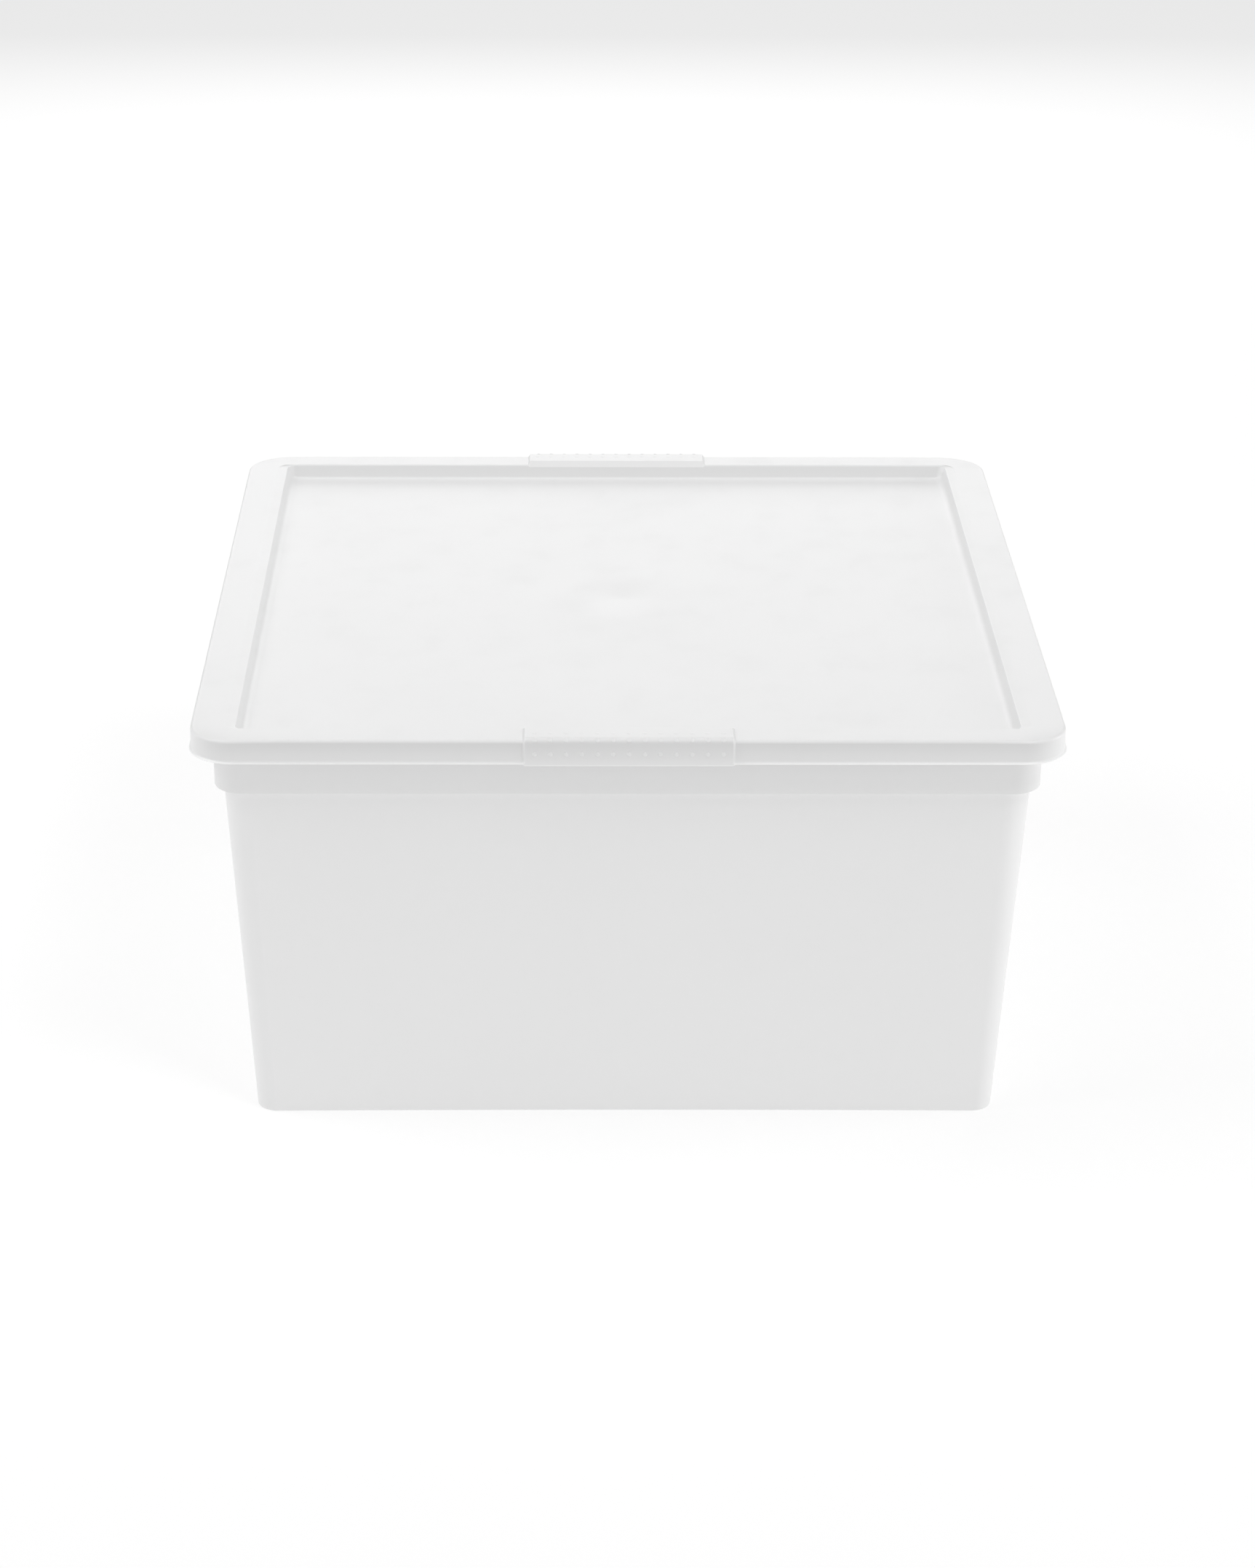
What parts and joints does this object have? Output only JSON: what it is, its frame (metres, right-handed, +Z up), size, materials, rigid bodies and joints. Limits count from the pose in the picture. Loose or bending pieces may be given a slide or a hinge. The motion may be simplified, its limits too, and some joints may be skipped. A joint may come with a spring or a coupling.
{
  "type": "lidded stacking storage box",
  "caption": "Square lidded plastic storage box: tapered tub with stepped collar, press-on lid with recessed top and studded grip pads.",
  "frame": {"origin": "middle of the base, at the height that the box stands on", "axes": "+Z up out of the box's opening, the front faces -Y, +X to the right seen from the front"},
  "size_m": [0.4, 0.4016, 0.2037],
  "materials": {
    "tub_plastic": "satin white polypropylene",
    "lid_plastic": "satin white polypropylene"
  },
  "bodies": {
    "tub": {"tub": "tub_plastic"},
    "lid": {"lid": "lid_plastic"}
  },
  "joints": [
    {"name": "lid_lift", "type": "slide", "parent": "tub", "child": "lid", "axis": [0, 0, 1], "range_m": [0, 0.25]}
  ]
}
